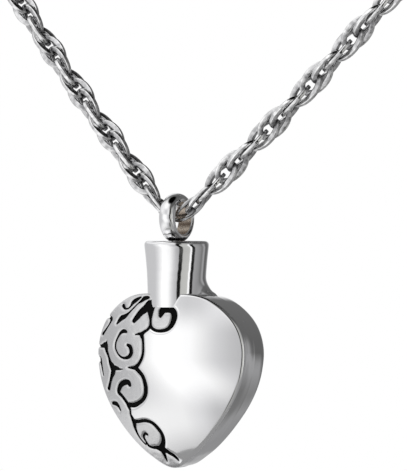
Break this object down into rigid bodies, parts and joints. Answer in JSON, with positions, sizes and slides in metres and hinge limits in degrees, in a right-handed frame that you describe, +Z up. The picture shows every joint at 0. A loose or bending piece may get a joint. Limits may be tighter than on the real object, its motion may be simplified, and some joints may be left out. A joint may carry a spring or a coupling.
{
  "type": "keepsake urn pendant on a chain",
  "caption": "Heart urn pendant in polished steel with black-grounded scrollwork, a screw-in bail and a rope chain necklace.",
  "frame": {"origin": "middle of the clasp, where the necklace lies on the back of the neck", "axes": "+Z up as worn, -Y to the front, where the heart's face looks, +X to the wearer's left"},
  "size_m": [0.1374, 0.139, 0.1456],
  "materials": {
    "polished_steel": "mirror polished stainless steel",
    "chain_steel": "bright polished stainless steel",
    "black_enamel": "glossy black enamel"
  },
  "bodies": {
    "necklace": {"chain": "chain_steel", "clasp": "chain_steel"},
    "bail": {"bail_screw": "polished_steel"},
    "urn": {"heart_urn": "polished_steel", "scroll_enamel": "black_enamel"}
  },
  "joints": [
    {"name": "pendant_swing", "type": "hinge", "parent": "necklace", "child": "bail", "pos_m": [0, -0.133, -0.11555], "axis": [1, 0, 0], "range_deg": [-30, 30]},
    {"name": "unscrew", "type": "slide", "parent": "bail", "child": "urn", "axis": [0, 0, -1], "range_m": [0, 0.006]}
  ]
}
